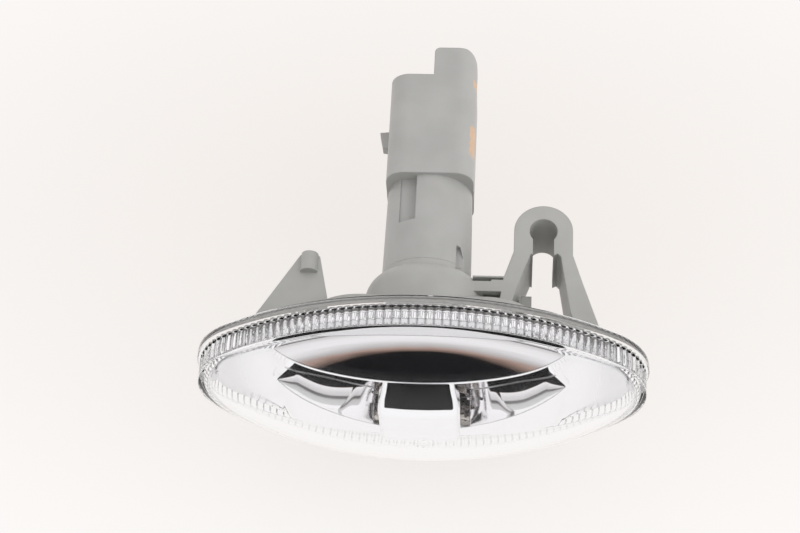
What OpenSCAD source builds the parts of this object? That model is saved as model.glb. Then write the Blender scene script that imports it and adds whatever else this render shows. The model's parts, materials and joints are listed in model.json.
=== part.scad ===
// Side repeater lamp: clear oval lens, bright reflector, grey snap-in housing,
// plug-in bulb holder with a two-way connector, and an amber wedge bulb.
// Frame: the origin is the centre of the lens rim's seat. The lens bulges
// towards -Y, the connector stands along +Y, and X is the oval's long axis.

/* [Lens] */
// Overall length of the oval rim, along X
lens_len = 75; // [60:0.5:90]
// Overall height of the oval rim, along Z
lens_ht = 46; // [38:0.5:56]
// Radius of the oval's two ends
end_r = 15; // [12:0.5:18]
// How far the crown of the dome stands in front of the seat
crown = 14.8; // [12:0.1:18]
// Where the dome meets the upright edge, in front of the seat
edge_y = 5.6; // [4:0.1:7]
// Wall of the dome
dome_wall = 2; // [1.5:0.1:2.6]
// Wall of the upright edge
side_wall = 1.9; // [1.5:0.1:2.4]
// Thickness of the rim skirt, along Y
skirt_t = 1.35; // [1.2:0.05:2]
// How far the skirt stands out beyond the edge
skirt_step = 0.5; // [0.3:0.1:0.8]
// Pitch of the reeds round the edge
reed_pitch = 1.3; // [1:0.02:1.8]
// Radius of one reed
reed_r = 0.55; // [0.3:0.05:0.6]
// How far the reeds stand proud of the edge wall
reed_proud = 0.28; // [0.15:0.01:0.35]
// Length of the reeds, along Y
reed_len = 3.55; // [2:0.05:4]
// Width of the lens's own seat round the rim
rebate_in = 1.5; // [1:0.1:1.8]
// Radius of the moulding gate mark on the crown
gate_r = 1.1; // [0.6:0.1:1.6]

/* [Reflector] */
// Half height of the bright body where its sloped leaves start
leaf_foot_z = 14.4; // [12:0.1:16]
// Half height at the crest, where each leaf ends
crest_z = 8.9; // [7.5:0.1:10]
// How far the crest stands in front of the seat
crest_y = 8.6; // [7.6:0.1:9.4]
// Front face of the thin rim, in front of the seat
rim_y = 2.8; // [2.4:0.1:3.2]
// Radius of the barrel face between the leaves
barrel_r = 70; // [60:1:90]
// Thickness of the bright moulding
refl_t = 1.4; // [1.2:0.1:1.8]
// Half length of the turned bowl, between its pointed ends
bowl_a = 30; // [27:0.5:32]
// Greatest radius of the turned bowl
bowl_b = 10.2; // [9:0.1:10.6]
// How far the bowl's long axis stands in front of the seat
bowl_axis_y = 7.5; // [7:0.1:8]
// Half width of the square well round the bulb
well_x = 10; // [8.5:0.1:11]
// Half height of the well
well_z = 6.5; // [6:0.1:6.6]
// Depth of the well behind the seat
well_y = 4.2; // [3.5:0.1:5]
// Front face of the bridge over the bulb, in front of the seat
bridge_y = 11.3; // [10.5:0.1:12]
// Half height of the bridge's front face
bridge_z = 4.2; // [3:0.1:5]
// Half width of the bridge at its middle
bridge_x = 6.6; // [5:0.1:8]
// Half width of the bridge where it meets a crest
bridge_neck = 5.3; // [4.5:0.1:7]

/* [Housing] */
// Thickness of the flange under the lens
flange_t = 1.1; // [0.8:0.1:1.4]
// How far the flange lies below the seat
flange_drop = 0.2; // [0.1:0.1:0.4]
// Half length of the first step of the tub
tub_a = 25; // [24.5:0.1:25.2]
// Half height of the first step of the tub
tub_b = 13; // [12.6:0.1:15]
// Depth of the first step
tub_y = 2.6; // [2.5:0.1:3]
// Half length of the second step
well_a = 19.4; // [19.2:0.1:21]
// Half height of the second step
well_b = 9.6; // [9.5:0.1:10.2]
// Depth of the second step
back_y = 7.4; // [7.2:0.1:7.8]
// Wall of the tub
tub_wall = 1.4; // [1.2:0.1:1.5]
// Outer radius of the bell
bell_r = 10.2; // [9.6:0.1:10.6]
// Where the bell's round shoulder starts
bell_y = 11; // [10.6:0.1:12.6]
// Rear end of the bell
neck_y = 15.7; // [15.6:0.1:17.2]
// Bore of the bell
bore_r = 6.6; // [6.4:0.05:6.7]
// Front face of the spring clip, above the middle
clip_z = 6; // [5.5:0.1:6.5]
// Depth of the spring clip, along Z
clip_w = 11.2; // [9:0.1:12]
// Centre of the clip's arch, along X
arch_x = 19.7; // [19:0.1:20.2]
// Centre of the clip's arch, along Y
arch_y = 22.3; // [21:0.1:24]
// Outer radius of the arch
arch_r = 4.96; // [4.6:0.02:5.4]
// Inner radius of the arch
arch_in = 2.35; // [2:0.05:2.6]
// Half width of the neck under the arch
arch_neck = 1.75; // [1.5:0.05:2]
// Height of the hook fin
fin_y = 18.8; // [17:0.1:21]
// How far the fin's foot stands out from the middle
fin_foot = 30.9; // [29:0.1:32]
// Thickness of the fin
fin_t = 2.2; // [1.6:0.1:2.8]
// Radius of the round nose on the fin
nose_r = 1.45; // [1:0.05:1.6]
// Gap left for the panel behind the rim
panel_gap = 1.4; // [1:0.1:1.6]

/* [Bulb holder] */
// Radius of the stalk at the bell
stalk_r = 7.6; // [7.4:0.05:7.65]
// Radius of the stalk at the connector
stalk_tip_r = 7.35; // [7.1:0.05:7.5]
// Where the connector's shroud starts
shroud_y = 32.4; // [30:0.1:36]
// Where the shroud ends
mouth_y = 53; // [50:0.1:57]
// Width of the shroud, along X
shroud_w = 15.1; // [14.5:0.1:16]
// Height of the shroud, along Z
shroud_h = 15.8; // [15.4:0.1:16.6]
// Corner radius of the shroud
shroud_r = 3.4; // [2.5:0.1:4]
// Wall of the shroud
shroud_wall = 1.4; // [1.2:0.1:1.8]
// Floor of the socket
socket_y = 37.7; // [37:0.1:40]
// End of the tall tab
tab_y = 58.8; // [57:0.1:62]
// Radius of the plug in the bell
plug_r = 6.4; // [6.2:0.05:6.5]
// Front end of the plug
plug_y = 10.5; // [10:0.1:11]
// Middle of the sealing ring, along Y
seal_y = 14.5; // [14.4:0.1:14.9]
// Section radius of the sealing ring
seal_r = 0.56; // [0.5:0.02:0.6]

/* [Contacts and bulb] */
// Distance from the middle to each contact
pin_x = 2.5; // [2.2:0.1:2.7]
// Width of a contact pin
pin_w = 1.5; // [1:0.1:2]
// Thickness of a contact pin
pin_t = 0.8; // [0.6:0.1:1]
// How far the pins stop short of the shroud's mouth
pin_back = 5.2; // [4.6:0.1:7]
// Radius of the bulb's glass
bulb_r = 5.1; // [4.8:0.05:5.2]
// Tip of the bulb, in front of the seat
bulb_tip = 5.6; // [4.8:0.1:6.2]
// Rear end of the bulb's flat base
base_y = 20.8; // [20:0.1:21]
// Width of the flat base
base_w = 9.4; // [9:0.1:9.6]
// Thickness of the flat base
base_t = 2.4; // [2.1:0.1:2.6]
// Radius of a lead wire
lead_r = 0.2; // [0.15:0.01:0.25]

/* [Hidden] */
$fn = 64;

// named clearances that tie neighbouring pieces
flange_gap = 0.15;
reflector_gap = 0.2;
ring_gap = 0.02;
reed_sink = 0.06;
bridge_sink = 0.15;
// corner of the stalk's key recess, and of the slot that faces it
key_x = 5.1;
key_z = 4.3;
// axis and radius of the filament, which ends in the two lead wires
filament_y = 0.6;
filament_r = 0.16;
// side arcs of an oval stop this far short of the tangent point
joint_in = 0.4;
slip = 0.05;
over = 1;

rim_a = lens_len / 2;
rim_b = lens_ht / 2;
edge_in = skirt_step;
reed_in = skirt_step + reed_proud + reed_sink;
wall_in = edge_in + side_wall;
flange_front = flange_drop + flange_t;
reed_end = skirt_t + reed_len;

// dome: an arc turned about a line parallel to X
dome_sag = crown - edge_y;
dome_long = ((rim_a - edge_in) * (rim_a - edge_in) + dome_sag * dome_sag) / (2 * dome_sag);
dome_short = ((rim_b - edge_in) * (rim_b - edge_in) + dome_sag * dome_sag) / (2 * dome_sag);

// leaves: both slopes of the bright body
leaf_slope = (leaf_foot_z - crest_z) / (crest_y - rim_y);
barrel_top = crest_y + 0.1;
leaf_drop = 2;
bowl_long = (bowl_a * bowl_a + bowl_b * bowl_b) / (2 * bowl_b);

stem_y = 21.3;
finger_y = 14;
tub_r = 12;
step_r = 9.2;

// radius of the side arcs of an oval with tangent ends
function side_r(a, b, r) = ((a - r) * (a - r) + b * b - r * r) / (2 * (b - r));

// oval of four tangent arcs
module oval(a, b, r) {
    big = side_r(a, b, r);
    joint = (a - r) * big / (big - r) - joint_in;
    intersection() {
        square([2 * joint, 4 * b], center = true);
        translate([0, b - big]) circle(r = big);
        translate([0, big - b]) circle(r = big);
    }
    for (s = [-1, 1])
        translate([s * (a - r), 0]) circle(r = r);
}

// oval of the rim, moved inwards by d
module rim_oval(d) {
    oval(rim_a - d, rim_b - d, end_r - d);
}

// stretch a shape in X and Z from y0 to y1
module along_y(y0, y1) {
    translate([0, y1, 0])
        rotate([90, 0, 0])
            linear_extrude(height = y1 - y0)
                children();
}

// stretch a shape in Y and Z along X, centred
module along_x(w) {
    translate([-w / 2, 0, 0])
        rotate([90, 0, 90])
            linear_extrude(height = w)
                children();
}

// turn a profile of radius and height about the Y axis
module about_y() {
    rotate([-90, 0, 0])
        rotate_extrude()
            children();
}

module rounded(w, h, r) {
    square([w - 2 * r, h], center = true);
    square([w, h - 2 * r], center = true);
    for (x = [-1, 1], y = [-1, 1])
        translate([x * (w / 2 - r), y * (h / 2 - r)]) circle(r = r);
}

// barrel with pointed ends, its long arc turned about a line parallel to X
module spindle(long, short, axis) {
    translate([0, axis, 0])
        rotate([0, 90, 0])
            rotate_extrude()
                intersection() {
                    translate([short - long, 0]) circle(r = long);
                    translate([0, -long]) square([short + over, 2 * long]);
                }
}

// reeds on one arc of the edge: n of them over the angle span about dir
module reeds(cx, cy, r, dir, span) {
    n = round(span * PI / 180 * r / reed_pitch);
    translate([cx, cy])
        for (i = [0:n - 1])
            rotate(dir - span / 2 + (i + 0.5) * span / n)
                translate([r, 0]) circle(r = reed_r, $fn = 16);
}

module reeded_edge() {
    a = rim_a - reed_in;
    b = rim_b - reed_in;
    r = end_r - reed_in;
    big = side_r(a, b, r);
    half = atan2(a - r, big - b);
    rim_oval(reed_in);
    for (s = [0, 1]) {
        rotate(180 * s) {
            reeds(0, b - big, big + reed_proud - reed_r, 90, 2 * half);
            reeds(a - r, 0, r + reed_proud - reed_r, 0, 180 - 2 * half);
        }
    }
}

module lens() {
    axis = dome_short - crown;
    color([0.92, 0.94, 0.95, 0.35])
    difference() {
        union() {
            along_y(-skirt_t, 0) rim_oval(0);
            along_y(-reed_end, -skirt_t) reeded_edge();
            intersection() {
                spindle(dome_long, dome_short, axis);
                along_y(-crown - over, -reed_end) rim_oval(edge_in);
            }
            translate([0.9, -crown + over, 0])
                rotate([90, 0, 0])
                    cylinder(r = gate_r, h = over + 0.12, $fn = 32);
        }
        intersection() {
            spindle(dome_long - dome_wall, dome_short - dome_wall, axis);
            along_y(-crown, over) rim_oval(wall_in);
        }
        along_y(-flange_front, over) rim_oval(rebate_in);
    }
}

// sloped leaves and barrel face, as one solid form moved back by d
module bright_form(d) {
    translate([0, d, 0])
    intersection() {
        along_x(2 * rim_a)
            polygon([
                [-rim_y, leaf_foot_z],
                [-barrel_top - over, leaf_foot_z - leaf_slope * (barrel_top + over - rim_y)],
                [-barrel_top - over, -leaf_foot_z + leaf_slope * (barrel_top + over - rim_y)],
                [-rim_y, -leaf_foot_z],
                [-flange_front, -leaf_foot_z],
                [-flange_front, leaf_foot_z]
            ]);
        translate([0, barrel_r - barrel_top, -leaf_foot_z - over])
            cylinder(r = barrel_r, h = 2 * (leaf_foot_z + over), $fn = 180);
    }
}

// the bowl behind the crest, grown by d: a turned spindle between two curved walls
module bowl(d) {
    wall_curve = barrel_r / leaf_slope;
    intersection() {
        spindle(bowl_long + d, bowl_b + d, -bowl_axis_y);
        along_y(-crown, well_y + over)
            difference() {
                square([lens_len, lens_ht], center = true);
                for (s = [-1, 1])
                    translate([0, s * (crest_z - 0.3 + d + wall_curve)])
                        circle(r = wall_curve, $fn = 180);
            }
    }
}

// square well round the bulb, grown by d
module well(d) {
    rounded(2 * (well_x + d), 2 * (well_z + d), 1 + d);
}

// everything behind the mouth that keeps the bowl closed
module bowl_body() {
    bowl(refl_t);
    along_y(-bowl_axis_y, well_y + refl_t) well(refl_t);
}

// bridge over the bulb, drawn in by d on each side
module bridge_form(d) {
    bow = bridge_x - bridge_neck;
    bow_r = (crest_z * crest_z + bow * bow) / (2 * bow);
    join = 1;
    join_y = -crest_y + join / leaf_slope;
    intersection() {
        along_x(lens_ht)
            polygon([
                [join_y + refl_t, crest_z + join],
                [join_y + bridge_sink, crest_z + join],
                [bridge_sink - crest_y, crest_z],
                [-bridge_y, bridge_z],
                [-bridge_y, -bridge_z],
                [bridge_sink - crest_y, -crest_z],
                [join_y + bridge_sink, -crest_z - join],
                [join_y + refl_t, -crest_z - join]
            ]);
        along_y(-crown, 0)
            intersection() {
                translate([bridge_x - d - bow_r, 0]) circle(r = bow_r, $fn = 120);
                translate([bow_r + d - bridge_x, 0]) circle(r = bow_r, $fn = 120);
            }
    }
}

module reflector() {
    color([0.86, 0.87, 0.88]) {
        difference() {
            union() {
                along_y(-rim_y, -flange_front) rim_oval(wall_in + reflector_gap);
                intersection() {
                    bright_form(0);
                    along_y(-crown, 0) rim_oval(wall_in + reflector_gap);
                }
                intersection() {
                    bowl_body();
                    along_y(-rim_y, back_y) square(lens_len, center = true);
                }
            }
            difference() {
                bright_form(leaf_drop);
                bowl_body();
            }
            bowl(0);
            along_y(-crown, well_y) well(0);
            rotate([-90, 0, 0]) cylinder(r = bore_r, h = back_y);
        }
        difference() {
            bridge_form(0);
            translate([0, refl_t, 0]) bridge_form(refl_t);
        }
    }
}

// profile of the bell: radius against Y
module bell_profile() {
    shoulder = 3.9;
    difference() {
        union() {
            translate([0, back_y - tub_wall]) square([bell_r, bell_y - back_y + tub_wall]);
            translate([bell_r - shoulder, bell_y]) circle(r = shoulder);
            translate([0, bell_y]) square([stalk_r + 0.05, neck_y - bell_y]);
        }
        translate([-lens_ht, 0]) square([lens_ht, lens_len]);
    }
}

// front view of the spring clip: two legs, and an arch that is open below its eye
module clip_outline() {
    knee_l = arch_x - arch_r;
    knee_r = arch_x + arch_r;
    difference() {
        union() {
            translate([arch_x, arch_y]) circle(r = arch_r);
            polygon([
                [knee_l, arch_y],
                [knee_l, arch_y - 4.1],
                [knee_l - 1.6, arch_y - 9.2],
                [knee_l - 2.4, back_y - 0.5],
                [knee_l - 0.6, back_y - 0.5],
                [knee_l + 0.2, arch_y - 12.5],
                [knee_l + 1.75, arch_y - 7.7],
                [arch_x - arch_neck, arch_y - 3.6],
                [arch_x, arch_y]
            ]);
            polygon([
                [knee_r, arch_y],
                [knee_r, arch_y - 4.6],
                [knee_r + 1.6, arch_y - 9.8],
                [knee_r + 4.5, arch_y - 18.6],
                [knee_r + 4.3, arch_y - 19.3],
                [knee_r + 2.9, panel_gap],
                [tub_a + 0.6, panel_gap],
                [tub_a + 0.6, tub_y + 0.6],
                [knee_r - 0.4, arch_y - 15.3],
                [knee_r - 1.25, arch_y - 9.9],
                [knee_r - 2, arch_y - 4.9],
                [arch_x + arch_neck, arch_y - 3.6],
                [arch_x, arch_y]
            ]);
        }
        translate([arch_x, arch_y]) circle(r = arch_in);
        translate([arch_x - arch_neck, arch_y - arch_r - over])
            square([2 * arch_neck, arch_r + over]);
    }
}

// front view of the hook fin
module fin_outline() {
    polygon([
        [-16.1, tub_y - 0.5],
        [-16.4, 10.3],
        [-18.1, fin_y - 0.7],
        [-18.9, fin_y],
        [-20.7, fin_y],
        [-21.5, fin_y - 0.5],
        [-27.4, 8.1],
        [-fin_foot, panel_gap + 1],
        [0.2 - fin_foot, panel_gap],
        [-tub_a + 0.6, panel_gap],
        [-tub_a + 0.6, tub_y - 0.5]
    ]);
}

module housing() {
    fin_z = 3;
    nose_x = -19.85;
    arm_y = 10.45;
    arm_t = 2.95;
    arm_x = bell_r - 2.2;
    arm_w = 5.6;
    arm_skin = 1.2;
    lip = 0.3;
    groove_z = clip_z - 1.6;
    // rib behind the fin, and the stop beside the clip's fixed leg
    root = 0.5;
    rib_x = -22.4;
    rib_z = -3;
    rib_size = [2.2, 8.8, 4.2];
    stop_x = 16.1;
    stop_z = -3.4;
    stop_size = [1.8, 5.5, 4.4];
    // slot in the neck for the bulb holder's key
    slot_y = 14.4;
    slot_size = [2.2, 3, 4];
    color([0.62, 0.63, 0.61])
    difference() {
        union() {
            along_y(-flange_front, -flange_drop) rim_oval(rebate_in + flange_gap);
            along_y(-flange_front, tub_y) rounded(2 * tub_a, 2 * tub_b, tub_r);
            along_y(0, back_y) rounded(2 * well_a, 2 * well_b, step_r);
            about_y() bell_profile();
            translate([0, 0, clip_z - clip_w])
                linear_extrude(height = clip_w) {
                    clip_outline();
                    translate([arm_x, arm_y]) square([arm_w, arm_t]);
                }
            translate([0, 0, fin_z - fin_t])
                linear_extrude(height = fin_t) fin_outline();
            translate([nose_x, fin_y - 3.8, fin_z])
                rotate([-90, 0, 0]) cylinder(r = nose_r, h = 3.5, $fn = 48);
            translate([rib_x, tub_y - root, rib_z]) cube(rib_size);
            translate([stop_x, back_y - root, stop_z]) cube(stop_size);
        }
        along_y(-flange_front - over, tub_y - tub_wall)
            rounded(2 * (tub_a - tub_wall), 2 * (tub_b - tub_wall), tub_r - tub_wall);
        along_y(-flange_front - over, back_y - tub_wall)
            rounded(2 * (well_a - tub_wall), 2 * (well_b - tub_wall), step_r - tub_wall);
        rotate([-90, 0, 0]) cylinder(r = bore_r, h = neck_y + over);
        rotate([-90, 0, 0]) cylinder(r = bore_r + 0.35, h = plug_y + 1.3);
        // hollow under the arm, and the groove along its top edge
        translate([bell_r - 0.4, arm_y - over, clip_z - clip_w + arm_skin])
            cube([3.2, over + arm_t - arm_skin, clip_w - 2 * arm_skin]);
        translate([arm_x, arm_y + arm_t - lip - 0.4, groove_z]) cube([arm_w - root, 0.4, clip_z]);
        translate([arm_x, arm_y + arm_t - lip - 0.7, groove_z]) cube([3.1, 0.7, clip_z]);
        translate([key_x, slot_y, key_z]) cube(slot_size);
    }
}

// space that one contact fills, grown by d
module contact_form(d) {
    finger_w = 2.8;
    finger_z = base_t / 2 + 2 * lead_r + slip;
    finger_t = 0.4;
    turn = 0.8;
    translate([-pin_x - finger_w / 2 - d, finger_y - d, finger_z - d])
        cube([finger_w + 2 * d, stem_y - finger_y + turn + 2 * d, finger_t + 2 * d]);
    translate([-pin_x - pin_w / 2 - d, stem_y - d, -pin_t / 2 - d])
        cube([pin_w + 2 * d, turn + 2 * d, finger_z + pin_t / 2 + 0.1 + 2 * d]);
    translate([-pin_x - pin_w / 2 - d, stem_y - d, -pin_t / 2 - d])
        cube([pin_w + 2 * d, mouth_y - pin_back - stem_y + 2 * d, pin_t + 2 * d]);
}

module contact_left() {
    color([0.8, 0.66, 0.36])
        contact_form(0);
}

module contact_right() {
    color([0.8, 0.66, 0.36])
        rotate([0, 180, 0]) contact_form(0);
}

// inside of the connector's shroud
module socket_outline() {
    rounded(shroud_w - 2 * shroud_wall, shroud_h - 2 * shroud_wall, shroud_r - shroud_wall + 0.3);
}

module bulb_holder() {
    key_y = 19.4;
    ramp_y = 42.4;
    groove_w = 1.4;
    groove_y = seal_y - groove_w / 2;
    tab_z = 2.6;
    notch_x = -4.8;
    notch_y = 23.6;
    notch_w = 2.7;
    groove_r = bore_r - ring_gap - 2 * seal_r - ring_gap;
    color([0.68, 0.69, 0.68])
    difference() {
        union() {
            rotate([-90, 0, 0])
                translate([0, 0, neck_y])
                    cylinder(r1 = stalk_r, r2 = stalk_tip_r, h = shroud_y - neck_y + 0.5);
            about_y()
                difference() {
                    union() {
                        translate([0, plug_y]) square([plug_r, neck_y - plug_y + 0.5]);
                        translate([0, plug_y + 0.2]) square([plug_r + 0.32, 0.9]);
                    }
                    translate([groove_r, groove_y]) square([over, groove_w]);
                }
            along_y(shroud_y, mouth_y) rounded(shroud_w, shroud_h, shroud_r);
            intersection() {
                along_y(mouth_y - 1, tab_y)
                    difference() {
                        rounded(shroud_w, shroud_h, shroud_r);
                        socket_outline();
                    }
                translate([0, 0, tab_z])
                    linear_extrude(height = shroud_h) {
                        translate([0, mouth_y - 1]) square([1, tab_y - mouth_y]);
                        translate([1, mouth_y - 1]) square([shroud_w / 2 - 3.3, tab_y - mouth_y + 1]);
                        translate([1, mouth_y - 1]) square([shroud_w / 2 - 1, tab_y - mouth_y - 1.3]);
                        translate([1, tab_y - 1]) circle(r = 1, $fn = 32);
                        translate([shroud_w / 2 - 2.3, tab_y - 2.3]) circle(r = 2.3, $fn = 48);
                    }
            }
            translate([0, 0, -2.2])
                linear_extrude(height = 1.8)
                    polygon([
                        [-shroud_w / 2 + 0.5, ramp_y],
                        [-shroud_w / 2 - 1.3, ramp_y + 0.3],
                        [-shroud_w / 2 - 1.95, ramp_y + 3.5],
                        [-shroud_w / 2 + 0.5, ramp_y + 3.8]
                    ]);
        }
        along_y(socket_y, mouth_y + over) socket_outline();
        translate([notch_x, notch_y, stalk_tip_r - 2]) cube([notch_w, shroud_y - notch_y, stalk_r]);
        translate([0, 0, key_z])
            linear_extrude(height = stalk_r)
                polygon([[key_x, neck_y], [key_x, key_y], [key_x + 0.6, key_y], [key_x + 1.6, neck_y]]);
        rotate([-90, 0, 0])
            translate([0, 0, plug_y - over]) cylinder(r = bulb_r + 0.2, h = over + 2.9);
        translate([-base_w / 2 - 0.1, plug_y, -base_t / 2 - 0.1])
            cube([base_w + 0.2, stem_y - plug_y, base_t + 0.2]);
        for (turn = [0, 180])
            rotate([0, turn, 0]) {
                contact_form(slip);
                translate([-pin_x - 2 * lead_r, finger_y - slip, 0])
                    cube([4 * lead_r, stem_y - finger_y + slip, base_t / 2 + 2 * lead_r + slip]);
            }
    }
}

module holder_seal() {
    color([0.12, 0.12, 0.12])
        translate([0, seal_y, 0])
            about_y()
                translate([bore_r - ring_gap - seal_r, 0]) circle(r = seal_r, $fn = 24);
}

module bulb_envelope() {
    glass = 0.6;
    barrel_y = bulb_r - bulb_tip;
    neck = 10.4;
    pinch = 13.3;
    inner_pinch = 12.2;
    color([0.95, 0.5, 0.1, 0.6])
    difference() {
        union() {
            about_y()
                difference() {
                    union() {
                        translate([0, barrel_y]) circle(r = bulb_r);
                        translate([0, barrel_y]) square([bulb_r, neck - barrel_y]);
                        polygon([[0, neck], [bulb_r, neck], [2.2, pinch], [0, pinch]]);
                    }
                    translate([-lens_ht, -lens_ht]) square([lens_ht, 2 * lens_ht]);
                    translate([0, barrel_y]) circle(r = bulb_r - glass);
                    translate([0, barrel_y]) square([bulb_r - glass, neck - barrel_y]);
                    polygon([[0, neck], [bulb_r - glass, neck], [2.6, inner_pinch], [0, inner_pinch]]);
                }
            translate([-base_w / 2, pinch + 0.2, -base_t / 2])
                cube([base_w, base_y - pinch - 0.2, base_t]);
            translate([-3.2, pinch - 1, -base_t / 2]) cube([6.4, 2, base_t]);
        }
        for (s = [-1, 1])
            translate([s * pin_x, neck - 1.4, 0])
                rotate([-90, 0, 0]) cylinder(r = lead_r + slip, h = base_y, $fn = 24);
    }
}

module bulb_filament() {
    color([0.35, 0.35, 0.37])
        translate([-pin_x, filament_y, 0])
            rotate([0, 90, 0]) cylinder(r = filament_r, h = 2 * pin_x, $fn = 24);
}

module lead_form() {
    fold_z = base_t / 2 + slip / 2 + lead_r;
    turn_y = base_y + slip + lead_r;
    lead_y = filament_y + filament_r;
    fold_y = 15.5;
    translate([-pin_x, lead_y, 0])
        rotate([-90, 0, 0]) cylinder(r = lead_r, h = turn_y - lead_y, $fn = 24);
    translate([-pin_x, turn_y, 0]) sphere(r = lead_r, $fn = 24);
    translate([-pin_x, turn_y, 0]) cylinder(r = lead_r, h = fold_z, $fn = 24);
    translate([-pin_x, turn_y, fold_z]) sphere(r = lead_r, $fn = 24);
    translate([-pin_x, fold_y, fold_z])
        rotate([-90, 0, 0]) cylinder(r = lead_r, h = turn_y - fold_y, $fn = 24);
}

module bulb_lead_left() {
    color([0.6, 0.6, 0.6])
        lead_form();
}

module bulb_lead_right() {
    color([0.6, 0.6, 0.6])
        rotate([0, 180, 0]) lead_form();
}

lens();
reflector();
housing();
bulb_holder();
holder_seal();
contact_left();
contact_right();
bulb_envelope();
bulb_filament();
bulb_lead_left();
bulb_lead_right();
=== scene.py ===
# %% [markdown]
# # A side repeater lamp, dressed for its picture
# The lamp is a small oval indicator from the side of a car: a clear lens with a reeded edge, a bright
# reflector with a bridge over the bulb, and grey mouldings behind them. The CAD model is loaded as a
# fixed frame, in metres. Each step below finishes one part of it, and says how the real part was made.

# %% Load the frame
import json
import bmesh
import bpy
import numpy as np
from mathutils import Matrix, Vector

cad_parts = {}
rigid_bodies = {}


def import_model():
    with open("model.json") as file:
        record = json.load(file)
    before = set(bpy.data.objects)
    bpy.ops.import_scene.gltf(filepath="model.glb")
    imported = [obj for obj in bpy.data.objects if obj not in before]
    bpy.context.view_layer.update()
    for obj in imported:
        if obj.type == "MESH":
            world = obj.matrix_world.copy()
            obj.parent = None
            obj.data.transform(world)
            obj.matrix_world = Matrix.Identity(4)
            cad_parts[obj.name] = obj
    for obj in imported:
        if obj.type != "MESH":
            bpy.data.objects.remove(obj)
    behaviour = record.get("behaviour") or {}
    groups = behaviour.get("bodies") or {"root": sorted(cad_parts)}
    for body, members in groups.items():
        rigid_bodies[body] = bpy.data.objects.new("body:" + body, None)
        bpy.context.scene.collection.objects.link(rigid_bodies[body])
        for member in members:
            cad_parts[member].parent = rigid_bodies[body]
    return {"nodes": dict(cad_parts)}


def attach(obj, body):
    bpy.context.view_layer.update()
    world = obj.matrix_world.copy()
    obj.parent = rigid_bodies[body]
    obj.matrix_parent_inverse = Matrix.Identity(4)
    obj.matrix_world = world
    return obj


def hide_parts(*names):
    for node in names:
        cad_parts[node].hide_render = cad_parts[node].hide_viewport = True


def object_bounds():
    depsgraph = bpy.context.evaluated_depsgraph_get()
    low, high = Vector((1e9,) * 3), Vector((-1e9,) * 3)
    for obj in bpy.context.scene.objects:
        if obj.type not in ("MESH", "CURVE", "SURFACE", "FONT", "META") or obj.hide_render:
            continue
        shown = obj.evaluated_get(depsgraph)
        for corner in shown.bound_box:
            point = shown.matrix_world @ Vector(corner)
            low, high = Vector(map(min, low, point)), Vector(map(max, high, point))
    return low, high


for left_over in list(bpy.data.objects):
    bpy.data.objects.remove(left_over)
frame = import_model()
cad_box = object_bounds()
MM = 0.001
print("CAD box in mm:", [round(v / MM, 1) for corner in cad_box for v in corner])

# %% [markdown]
# ## Camera
# The picture was taken from above and a little to the right, with a long lens, and the camera was
# tilted by a few degrees. The three angles, the focal length and the distance are known from the
# oval rim, whose true shape gives them. An upright basis is built from the first two angles, and the
# tilt then turns it about the line of sight.

# %% Place the camera
CAMERA_AZIMUTH, CAMERA_ELEVATION, CAMERA_TILT = np.radians((6.759, 59.822, -4.595))
CAMERA_DISTANCE = 330 * MM
FOCAL_PIXELS, IMAGE_WIDTH, SENSOR_MM = 1984.3, 800, 36
AIM_RIGHT, AIM_UP = -2.446 * MM, 16.16 * MM


def camera_basis(azimuth, elevation, tilt):
    """Right, up and backward unit vectors of a camera at this azimuth and elevation, turned by tilt, and
    the point it looks at, which lies AIM_RIGHT and AIM_UP from the origin before the tilt."""
    back = np.array((np.sin(azimuth) * np.cos(elevation),
                     -np.cos(azimuth) * np.cos(elevation), np.sin(elevation)))
    right = np.array((np.cos(azimuth), np.sin(azimuth), 0))
    up = np.cross(back, right)
    aim = AIM_RIGHT * right + AIM_UP * up
    turned_right = np.cos(tilt) * right + np.sin(tilt) * up
    turned_up = np.cos(tilt) * up - np.sin(tilt) * right
    return turned_right, turned_up, back, aim


right, up, back, aim = camera_basis(CAMERA_AZIMUTH, CAMERA_ELEVATION, CAMERA_TILT)
camera = bpy.data.objects.new("camera", bpy.data.cameras.new("camera"))
camera.data.sensor_width = SENSOR_MM
camera.data.lens = FOCAL_PIXELS / IMAGE_WIDTH * SENSOR_MM
camera.data.clip_start, camera.data.clip_end = 0.01, 20
camera.matrix_world = Matrix.Translation(Vector(aim + CAMERA_DISTANCE * back)) @ Matrix(
    np.column_stack((right, up, back)).tolist()).to_4x4()
bpy.context.scene.collection.objects.link(camera)
bpy.context.scene.camera = camera
print("lens in mm:", round(camera.data.lens, 2))

# %% [markdown]
# ## Colours and shader nodes
# Colours are written as the hex values a paint program shows, and one function turns them into the
# linear values that light is reckoned in. One small function adds any shader node, with its settings
# and links, and another starts a material from a single Principled shader.

# %% Helpers for materials
def linear(hex_colour, alpha=1.0):
    """Linear RGBA of an sRGB hex colour: c / 12.92 near black, else ((c + 0.055) / 1.055) ** 2.4."""
    c = np.array([int(hex_colour[i:i + 2], 16) for i in (1, 3, 5)]) / 255
    return (*np.where(c < 0.04045, c / 12.92, ((c + 0.055) / 1.055) ** 2.4).tolist(), alpha)


def add(tree, kind, sockets=None, **settings):
    """Adds a node: settings are its properties, sockets gives inputs a value or another node's output."""
    node = tree.nodes.new(kind)
    for name, value in settings.items():
        setattr(node, name, value)
    for name, value in (sockets or {}).items():
        if isinstance(value, bpy.types.NodeSocket):
            tree.links.new(value, node.inputs[name])
        else:
            node.inputs[name].default_value = value
    return node


def start_material(name, sockets):
    """A new material with one Principled shader; returns the material, its node tree and the shader."""
    material = bpy.data.materials.new(name)
    material.use_nodes = True
    tree = material.node_tree
    tree.nodes.clear()
    shader = add(tree, "ShaderNodeBsdfPrincipled", sockets)
    add(tree, "ShaderNodeOutputMaterial", {"Surface": shader.outputs["BSDF"]})
    return material, tree, shader


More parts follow.
